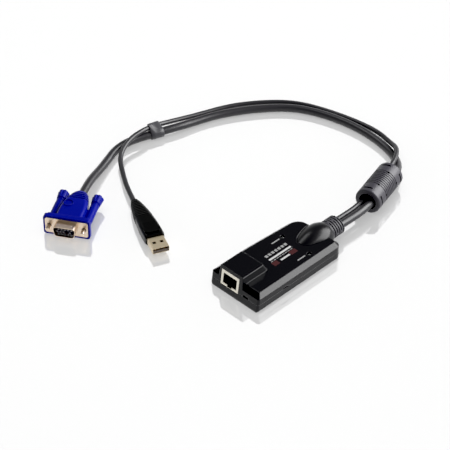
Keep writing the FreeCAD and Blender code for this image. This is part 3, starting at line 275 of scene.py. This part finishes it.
vga_line, usb_line = centre_line(vga_cord), centre_line(usb_cord)
band_axis = (Vector(VGA_ROUTE[BAND_KNOT + 1]) - Vector(VGA_ROUTE[BAND_KNOT - 1])).normalized()
band_side = band_axis.cross(UP).normalized()
band_up = band_side.cross(band_axis)
band_from = Vector(VGA_ROUTE[BAND_KNOT]) - band_axis * BAND_BEFORE
points = []
for along, less in BAND_STATIONS:
    ends = [(crossing(vga_line, band_from, band_axis, along), BAND_VGA_R - less),
            (crossing(usb_line, band_from, band_axis, along), BAND_USB_R - less)]
    for j in range(BAND_SIDES):
        turn = math.tau * j / BAND_SIDES
        out = band_side * math.cos(turn) + band_up * math.sin(turn)
        centre, radius = max(ends, key=lambda end: end[0].dot(out) + end[1])
        corner = centre + out * radius
        corner.z = max(corner.z, BAND_OVER_GROUND)
        points.append(corner)
faces = ring_faces(len(BAND_STATIONS), BAND_SIDES, closed_rows=False)
last_row = len(points) - BAND_SIDES
faces += [tuple(reversed(range(BAND_SIDES))), tuple(last_row + j for j in range(BAND_SIDES))]
band = mesh_piece("cable_band", points, faces)
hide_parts("cable_sleeve")

# ------------------------------------------------------------------ ribs round the rear of the USB grip
USB_AT = Vector((-65.7, -45.55, 5.5))
USB_TURN = math.radians(65.75)
GRIP_START = 12.2
# distance from the grip's front, half width, half height, corner radius, drop
GRIP_REAR = [
    (23.0, 6.3, 4.5, 2.6, 0.7), (30.0, 5.6, 4.1, 2.7, 0.8),
    (37.0, 4.5, 3.6, 2.8, 0.85), (44.6, 3.0, 2.9, 2.7, 0.9)]
RIB_FIRST, RIB_PITCH, RIBS = 24.6, 1.9, 10
# across one rib: distance along the grip, height over its surface
RIB_PROFILE = ((-0.62, -0.35), (-0.62, 0.0), (-0.3, 0.2), (0.0, 0.25),
               (0.3, 0.2), (0.62, 0.0), (0.62, -0.35))


def grip_section(y):
    """Half width, half height, corner radius and drop of the grip at distance y from its front."""
    for low, high in zip(GRIP_REAR, GRIP_REAR[1:]):
        if y <= high[0]:
            t = (y - low[0]) / (high[0] - low[0])
            return [a + (b - a) * t for a, b in zip(low[1:], high[1:])]
    return GRIP_REAR[-1][1:]


def usb_point(x, y, z):
    c, n = math.cos(USB_TURN), math.sin(USB_TURN)
    return USB_AT + Vector((x * c - y * n, x * n + y * c, z))


def rounded_loop(half_w, half_h, radius, per_corner=9):
    loop = []
    for quarter, (sx, sz) in enumerate(((1, 1), (-1, 1), (-1, -1), (1, -1))):
        for i in range(per_corner):
            a = math.pi / 2 * (quarter + i / (per_corner - 1))
            x = sx * (half_w - radius) + radius * math.cos(a)
            loop.append((x, sz * (half_h - radius) + radius * math.sin(a)))
    return loop


points, faces = [], []
for i in range(RIBS):
    middle = RIB_FIRST + i * RIB_PITCH
    base = len(points)
    for step, out in RIB_PROFILE:
        half_w, half_h, radius, drop = grip_section(middle + step)
        loop = rounded_loop(half_w + out, half_h + out, radius + out)
        points += [usb_point(x, GRIP_START + middle + step, z - drop) for x, z in loop]
    faces += [tuple(base + k for k in face) for face in ring_faces(len(RIB_PROFILE), len(loop))]
grip_ribs = mesh_piece("usb_grip_ribs", points, faces)

# ------------------------------------------------------------------ generic print on the deck
DECK_Z = 13.4
PRINT_UNDER, PRINT_OVER, PRINT_CORNER = 0.03, 0.02, 0.18


def bar_row(x0, x1, y0, length, pitch, count):
    return [(x0, x1, y0 + pitch * i, y0 + pitch * i + length) for i in range(count)]


def printed(name, bars):
    """Plain bars with round corners, as thin plates on the deck."""
    verts, faces = [], []
    for x0, x1, y0, y1 in bars:
        loop = rounded_loop((x1 - x0) / 2, (y1 - y0) / 2, PRINT_CORNER, 5)
        base, n = len(verts), len(loop)
        for z in (DECK_Z - PRINT_UNDER, DECK_Z + PRINT_OVER):
            verts += [((x0 + x1) / 2 + x, (y0 + y1) / 2 + y, z) for x, y in loop]
        faces += [tuple(base + k for k in face) for face in ring_faces(2, n, closed_rows=False)]
        faces += [tuple(base + j for j in reversed(range(n))), tuple(base + n + j for j in range(n))]
    piece = mesh_piece(name, verts, faces)
    return piece


# each bar is (x0, x1, y0, y1)
TITLE_BLOCKS = bar_row(-4.75, -2.45, -7.4, 2.2, 3.06, 7)
SMALL_BLOCKS = bar_row(2.35, 2.95, -8.2, 2.0, 2.65, 8)
LAMP_BARS = [(-10.9, -9.9, 5.8, 13.3), (13.5, 14.5, 5.7, 13.0)]
LONG_BARS = [(-0.35, 1.25, -7.8, 13.1), (5.0, 6.5, -2.0, 6.7)]
RED_FIELDS = [(3.5, 7.5, -9.2, -4.4), (3.5, 7.3, 7.4, 13.2)]
white_print = printed("print_white", LONG_BARS)
grey_print = printed("print_grey", TITLE_BLOCKS + SMALL_BLOCKS + LAMP_BARS)
red_print = printed("print_red", RED_FIELDS)

# ------------------------------------------------------------------ materials
GRAIN_DETAIL, GRAIN_DEPTH, EDGE_SAMPLES = 3.0, 0.00005, 8


def principled(name, color, rough, metal=0.0, spec=0.5):
    mat = bpy.data.materials.new(name)
    mat.use_nodes = True
    shader = mat.node_tree.nodes["Principled BSDF"]
    shader.inputs["Base Color"].default_value = (*color, 1.0)
    shader.inputs["Roughness"].default_value = rough
    shader.inputs["Metallic"].default_value = metal
    shader.inputs["Specular IOR Level"].default_value = spec
    return mat


def grain(mat, scale, strength, distance=GRAIN_DEPTH, edge=0.0):
    """Fine unevenness in the object's own coordinates, and edges softened to radius edge (metres)."""
    tree = mat.node_tree
    coords = tree.nodes.new("ShaderNodeTexCoord")
    noise = tree.nodes.new("ShaderNodeTexNoise")
    bump = tree.nodes.new("ShaderNodeBump")
    noise.inputs["Scale"].default_value = scale
    noise.inputs["Detail"].default_value = GRAIN_DETAIL
    bump.inputs["Strength"].default_value = strength
    bump.inputs["Distance"].default_value = distance
    tree.links.new(coords.outputs["Object"], noise.inputs["Vector"])
    tree.links.new(noise.outputs["Fac"], bump.inputs["Height"])
    tree.links.new(bump.outputs["Normal"], tree.nodes["Principled BSDF"].inputs["Normal"])
    if edge:
        soft = tree.nodes.new("ShaderNodeBevel")
        soft.samples = EDGE_SAMPLES
        soft.inputs["Radius"].default_value = edge
        tree.links.new(soft.outputs["Normal"], bump.inputs["Normal"])


FINISHES = {
    "cover_black": dict(color=(0.0046, 0.0046, 0.0056), rough=0.20, spec=0.26),
    "cover_grey": dict(color=(0.0046, 0.0046, 0.0056), rough=0.26, spec=0.26),
    "screw_steel": dict(color=(0.5, 0.5, 0.51), rough=0.3, metal=1.0),
    "board_green": dict(color=(0.01, 0.08, 0.03), rough=0.35),
    "chip_black": dict(color=(0.02, 0.02, 0.022), rough=0.5),
    "can_metal": dict(color=(0.6, 0.6, 0.6), rough=0.3, metal=1.0),
    "ceramic_tan": dict(color=(0.35, 0.26, 0.16), rough=0.5),
    "led_clear": dict(color=(0.02, 0.022, 0.022), rough=0.10),
    "tin_plate": dict(color=(0.7, 0.7, 0.68), rough=0.25, metal=1.0),
    "header_white": dict(color=(0.8, 0.78, 0.7), rough=0.5),
    "lead_jacket": dict(color=(0.5, 0.05, 0.04), rough=0.5),
    "jack_metal": dict(color=(0.64, 0.61, 0.53), rough=0.30, metal=0.85),
    "jack_black": dict(color=(0.004, 0.004, 0.004), rough=0.45, spec=0.3),
    "contact_gold": dict(color=(0.9, 0.62, 0.22), rough=0.22, metal=1.0),
    "moulding_grey": dict(color=(0.0045, 0.0044, 0.0054), rough=0.28, spec=0.24),
    "choke_grey": dict(color=(0.026, 0.0245, 0.032), rough=0.42, spec=0.42),
    "cable_jacket": dict(color=(0.014, 0.0135, 0.016), rough=0.36, spec=0.45),
    "ferrite_dark": dict(color=(0.05, 0.05, 0.052), rough=0.6),
    "sleeve_black": dict(color=(0.022, 0.0215, 0.0255), rough=0.42),
    "hood_blue": dict(color=(0.0030, 0.0056, 0.180), rough=0.34, spec=0.08),
    "plug_metal": dict(color=(0.70, 0.58, 0.46), rough=0.30, metal=1.0),
    "usb_metal": dict(color=(0.62, 0.53, 0.38), rough=0.40, metal=1.0),
    "pin_metal": dict(color=(0.50, 0.48, 0.50), rough=0.25, metal=1.0),
    "insert_black": dict(color=(0.003, 0.003, 0.016), rough=0.5, spec=0.2),
    "grip_black": dict(color=(0.0030, 0.0030, 0.0030), rough=0.30, spec=0.16),
    "insert_white": dict(color=(0.08, 0.06, 0.045), rough=0.45),
    "ink_white": dict(color=(0.36, 0.36, 0.36), rough=0.5, spec=0.3),
    "ink_grey": dict(color=(0.20, 0.20, 0.20), rough=0.5, spec=0.3),
    "ink_red": dict(color=(0.040, 0.010, 0.011), rough=0.35, spec=0.3),
}
GRAINS = {
    "cover_black": dict(scale=900, strength=0.05, edge=0.0008),
    "cover_grey": dict(scale=1500, strength=0.08, edge=0.0004),
    "jack_metal": dict(scale=400, strength=0.08),
    "moulding_grey": dict(scale=1200, strength=0.08, edge=0.0003),
    "choke_grey": dict(scale=1200, strength=0.15),
    "cable_jacket": dict(scale=300, strength=0.10, distance=0.0001),
    "sleeve_black": dict(scale=1200, strength=0.12),
    "hood_blue": dict(scale=1200, strength=0.10, edge=0.0003),
    "plug_metal": dict(scale=500, strength=0.06),
    "usb_metal": dict(scale=500, strength=0.06),
    "grip_black": dict(scale=1500, strength=0.14),
    "ink_white": dict(scale=1500, strength=0.2),
    "ink_grey": dict(scale=1500, strength=0.2),
    "ink_red": dict(scale=1500, strength=0.2),
}
MATS = {name: principled(name, **finish) for name, finish in FINISHES.items()}
for name, row in GRAINS.items():
    grain(MATS[name], **row)


def blend_along_y(mat, start, end, color, rough):
    """From start to end (metres along Y) the finish turns into color and rough."""
    tree = mat.node_tree
    shader = tree.nodes["Principled BSDF"]
    coords, split = tree.nodes.new("ShaderNodeTexCoord"), tree.nodes.new("ShaderNodeSeparateXYZ")
    tree.links.new(coords.outputs["Object"], split.inputs["Vector"])

    def ramp(low, high):
        place = tree.nodes.new("ShaderNodeMapRange")
        place.inputs["From Min"].default_value, place.inputs["From Max"].default_value = start, end
        place.inputs["To Min"].default_value, place.inputs["To Max"].default_value = low, high
        tree.links.new(split.outputs["Y"], place.inputs["Value"])
        return place.outputs["Result"]

    mix = tree.nodes.new("ShaderNodeMix")
    mix.data_type = "RGBA"
    mix.inputs[6].default_value = shader.inputs["Base Color"].default_value
    mix.inputs[7].default_value = (*color, 1.0)
    tree.links.new(ramp(0.0, 1.0), mix.inputs["Factor"])
    tree.links.new(mix.outputs[2], shader.inputs["Base Color"])
    tree.links.new(ramp(shader.inputs["Roughness"].default_value, rough), shader.inputs["Roughness"])


# the strain relief is smooth over the housing and turns duller from its collar on, where its colour is also
# painted paler: a painted sheen for the light its ridges catch
COLLAR_FROM, COLLAR_FULL = 0.0445, 0.0475
blend_along_y(MATS["moulding_grey"], COLLAR_FROM, COLLAR_FULL, (0.045, 0.044, 0.050), 0.42)

# each CAD node has the material of its slot, except these
OWN_FINISH = {"vga_pins": "pin_metal", "usb_shell": "usb_metal", "ferrite_cover": "choke_grey"}
slot_of = {row["node"]: row["material_slot"] for row in frame["record"]["subparts"]}
for node, obj in frame["nodes"].items():
    obj.data.materials.clear()
    obj.data.materials.append(MATS[OWN_FINISH.get(node, slot_of[node])])
for obj, mat in ((vga_cord, "cable_jacket"), (usb_cord, "cable_jacket"), (choke, "choke_grey"),
                 (band, "sleeve_black"), (grip_ribs, "grip_black"), (white_print, "ink_white"),
                 (grey_print, "ink_grey"), (red_print, "ink_red")):
    obj.data.materials.append(MATS[mat])

# the floors and walls of the choke's windows and slots get a black finish: painted shade in these recesses
PAINTED_SHADE_R_FROM, PAINTED_SHADE_R_TO, PAINTED_SHADE_END = CHOKE_MOUTH_R + 1, CHOKE_R - GROOVE_DEPTH - 0.05, 2
choke.data.materials.append(MATS["jack_black"])
for face in choke.data.polygons:
    away = face.center / MM - CHOKE_AT
    along = away.dot(CHOKE_AXIS)
    radius = (away - CHOKE_AXIS * along).length
    if PAINTED_SHADE_R_FROM < radius < PAINTED_SHADE_R_TO and PAINTED_SHADE_END < along < CHOKE_LENGTH - PAINTED_SHADE_END:
        face.material_index = 1


# ------------------------------------------------------------------ floor and light
FLOOR_SIZE, FLOOR_UNDER, FLOOR_IOR = 8.0, 0.0002, 1.9
BLACK_LEVEL = 0.010
ROOM_LOW, ROOM_HIGH = 0.9, 0.17
ROOM_FADE_FROM, ROOM_FADE_TO = 0.22, 0.50
SIDE_W, FILL_W, FLOOR_KEY_W, FLOOR_SHEEN_W = 40.0, 4.0, 91.0, 4050.0

bpy.ops.mesh.primitive_plane_add(size=FLOOR_SIZE, location=(0, 0, -FLOOR_UNDER))
floor = bpy.context.object
floor.name = "floor"
floor_mat = principled("floor_white", (0.50, 0.50, 0.50), 0.06, spec=1.0)
floor_mat.node_tree.nodes["Principled BSDF"].inputs["IOR"].default_value = FLOOR_IOR
floor.data.materials.append(floor_mat)

view = bpy.context.scene.view_settings
view.view_transform = "Standard"
view.use_curve_mapping = True
view.curve_mapping.black_level = (BLACK_LEVEL, BLACK_LEVEL, BLACK_LEVEL)
view.curve_mapping.update()

# the room is bright near the horizon and dim overhead, so that the glossy deck stays black
world = bpy.data.worlds.new("world")
bpy.context.scene.world = world
world.use_nodes = True
tree = world.node_tree
background = tree.nodes["Background"]
background.inputs["Color"].default_value = (1.0, 1.0, 1.0, 1.0)
direction = tree.nodes.new("ShaderNodeTexCoord")
height = tree.nodes.new("ShaderNodeSeparateXYZ")
fade = tree.nodes.new("ShaderNodeMapRange")
fade.interpolation_type = "SMOOTHSTEP"
for socket, value in (("From Min", ROOM_FADE_FROM), ("From Max", ROOM_FADE_TO),
                      ("To Min", ROOM_LOW), ("To Max", ROOM_HIGH)):
    fade.inputs[socket].default_value = value
tree.links.new(direction.outputs["Generated"], height.inputs["Vector"])
tree.links.new(height.outputs["Z"], fade.inputs["Value"])
tree.links.new(fade.outputs["Result"], background.inputs["Strength"])


def lamp(name, power, size, at, aim, floor_light):
    """A softbox for the floor alone (INCLUDE), or for all but the floor (EXCLUDE)."""
    data = bpy.data.lights.new(name, "AREA")
    data.energy = power
    data.shape = "RECTANGLE"
    data.size, data.size_y = size
    obj = new_object(name, data)
    obj.location = at
    obj.rotation_mode = "QUATERNION"
    obj.rotation_quaternion = (Vector(aim) - obj.location).to_track_quat("-Z", "Y")
    receivers = bpy.data.collections.new(name + "_receivers")
    receivers.objects.link(floor)
    receivers.collection_objects[0].light_linking.link_state = floor_light
    obj.light_linking.receiver_collection = receivers
    return obj


lamp("side", SIDE_W, (1.3, 0.9), at=(0.50, 0.80, 0.70), aim=(0, 0.03, 0), floor_light="EXCLUDE")
lamp("fill", FILL_W, (0.5, 0.5), at=(-0.80, 0.10, 1.10), aim=(-0.08, 0.08, 0), floor_light="EXCLUDE")
# even light on the floor: only the floor itself can block it, so the object throws no shadow
floor_key = lamp("floor_key", FLOOR_KEY_W, (2.6, 2.6), at=(0, 0, 2.2), aim=(0, 0, 0), floor_light="INCLUDE")
floor_key.light_linking.blocker_collection = floor_key.light_linking.receiver_collection
# a wide sky that the glossy floor mirrors from every side, which the object's mirror image darkens
sheen = lamp("floor_sheen", FLOOR_SHEEN_W, (28.0, 28.0), at=(0, 0, 0.6), aim=(0, 0, 0), floor_light="INCLUDE")
sheen.visible_diffuse = False
